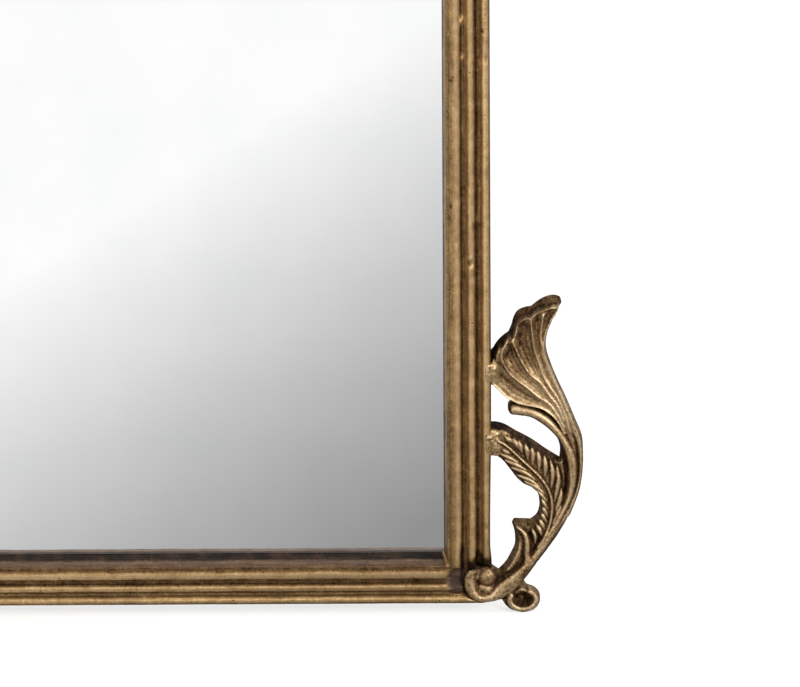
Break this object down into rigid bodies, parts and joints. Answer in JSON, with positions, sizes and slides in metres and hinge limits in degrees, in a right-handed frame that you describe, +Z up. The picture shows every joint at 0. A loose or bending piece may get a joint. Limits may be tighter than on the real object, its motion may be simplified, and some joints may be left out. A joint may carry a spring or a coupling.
{
  "type": "full-length floor mirror",
  "caption": "Tall rectangular floor mirror in a reeded antique-brass frame, standing on cast acanthus-leaf brackets at its lower corners, with turn buttons and swinging D-rings behind.",
  "frame": {"origin": "on the floor, under the middle of the whole object", "axes": "+X to the viewer's right, +Z up, front faces -Y"},
  "size_m": [0.914, 0.0443, 1.7],
  "materials": {
    "antique_brass": "cast, brass-coloured lacquer, dark in the grooves and rubbed bright on the reeds",
    "mirror": "silvered float glass",
    "zinc_steel": "zinc plated",
    "black_tape": "matt foam tape",
    "foam": "soft foam sheet",
    "hardboard": "smooth hardboard",
    "rubber": "matt rubber"
  },
  "bodies": {
    "mirror": {"left_stile": "antique_brass", "right_stile": "antique_brass", "bottom_rail": "antique_brass", "top_rail": "antique_brass", "glazing_tape": "black_tape", "mirror_glass": "mirror", "foam_liner": "foam", "backing_board": "hardboard", "setting_blocks": "rubber", "corner_brace_bottom_left": "zinc_steel", "corner_brace_bottom_right": "zinc_steel", "corner_brace_top_right": "zinc_steel", "corner_brace_top_left": "zinc_steel", "corner_brace_screws": "zinc_steel", "turn_button_screws": "zinc_steel", "hanger_strap_left": "zinc_steel", "hanger_strap_right": "zinc_steel", "hanger_screws": "zinc_steel", "wall_bumpers": "rubber", "right_leaf_bracket": "antique_brass", "left_leaf_bracket": "antique_brass", "leaf_bracket_screws": "zinc_steel"},
    "turn_button_left_1": {"turn_button_left_1": "zinc_steel"},
    "turn_button_right_1": {"turn_button_right_1": "zinc_steel"},
    "turn_button_left_2": {"turn_button_left_2": "zinc_steel"},
    "turn_button_right_2": {"turn_button_right_2": "zinc_steel"},
    "turn_button_left_3": {"turn_button_left_3": "zinc_steel"},
    "turn_button_right_3": {"turn_button_right_3": "zinc_steel"},
    "turn_button_left_4": {"turn_button_left_4": "zinc_steel"},
    "turn_button_right_4": {"turn_button_right_4": "zinc_steel"},
    "turn_button_bottom_1": {"turn_button_bottom_1": "zinc_steel"},
    "turn_button_top_1": {"turn_button_top_1": "zinc_steel"},
    "turn_button_bottom_2": {"turn_button_bottom_2": "zinc_steel"},
    "turn_button_top_2": {"turn_button_top_2": "zinc_steel"},
    "hanger_ring_left": {"hanger_ring_left": "zinc_steel"},
    "hanger_ring_right": {"hanger_ring_right": "zinc_steel"}
  },
  "joints": [
    {"name": "turn_button_left_1_turn", "type": "hinge", "parent": "mirror", "child": "turn_button_left_1", "pos_m": [-0.358, 0.01515, 0.238], "axis": [0, 1, 0], "continuous": true},
    {"name": "turn_button_right_1_turn", "type": "hinge", "parent": "mirror", "child": "turn_button_right_1", "pos_m": [0.358, 0.01515, 0.238], "axis": [0, 1, 0], "continuous": true},
    {"name": "turn_button_left_2_turn", "type": "hinge", "parent": "mirror", "child": "turn_button_left_2", "pos_m": [-0.358, 0.01515, 0.64867], "axis": [0, 1, 0], "continuous": true},
    {"name": "turn_button_right_2_turn", "type": "hinge", "parent": "mirror", "child": "turn_button_right_2", "pos_m": [0.358, 0.01515, 0.64867], "axis": [0, 1, 0], "continuous": true},
    {"name": "turn_button_left_3_turn", "type": "hinge", "parent": "mirror", "child": "turn_button_left_3", "pos_m": [-0.358, 0.01515, 1.05933], "axis": [0, 1, 0], "continuous": true},
    {"name": "turn_button_right_3_turn", "type": "hinge", "parent": "mirror", "child": "turn_button_right_3", "pos_m": [0.358, 0.01515, 1.05933], "axis": [0, 1, 0], "continuous": true},
    {"name": "turn_button_left_4_turn", "type": "hinge", "parent": "mirror", "child": "turn_button_left_4", "pos_m": [-0.358, 0.01515, 1.47], "axis": [0, 1, 0], "continuous": true},
    {"name": "turn_button_right_4_turn", "type": "hinge", "parent": "mirror", "child": "turn_button_right_4", "pos_m": [0.358, 0.01515, 1.47], "axis": [0, 1, 0], "continuous": true},
    {"name": "turn_button_bottom_1_turn", "type": "hinge", "parent": "mirror", "child": "turn_button_bottom_1", "pos_m": [-0.15, 0.01515, 0.03], "axis": [0, 1, 0], "continuous": true},
    {"name": "turn_button_top_1_turn", "type": "hinge", "parent": "mirror", "child": "turn_button_top_1", "pos_m": [-0.15, 0.01515, 1.678], "axis": [0, 1, 0], "continuous": true},
    {"name": "turn_button_bottom_2_turn", "type": "hinge", "parent": "mirror", "child": "turn_button_bottom_2", "pos_m": [0.15, 0.01515, 0.03], "axis": [0, 1, 0], "continuous": true},
    {"name": "turn_button_top_2_turn", "type": "hinge", "parent": "mirror", "child": "turn_button_top_2", "pos_m": [0.15, 0.01515, 1.678], "axis": [0, 1, 0], "continuous": true},
    {"name": "hanger_ring_left_swing", "type": "hinge", "parent": "mirror", "child": "hanger_ring_left", "pos_m": [-0.354, 0.01703, 1.22], "axis": [0, 0, 1], "range_deg": [0, 165]},
    {"name": "hanger_ring_right_swing", "type": "hinge", "parent": "mirror", "child": "hanger_ring_right", "pos_m": [0.354, 0.01703, 1.22], "axis": [0, 0, -1], "range_deg": [0, 165]}
  ]
}
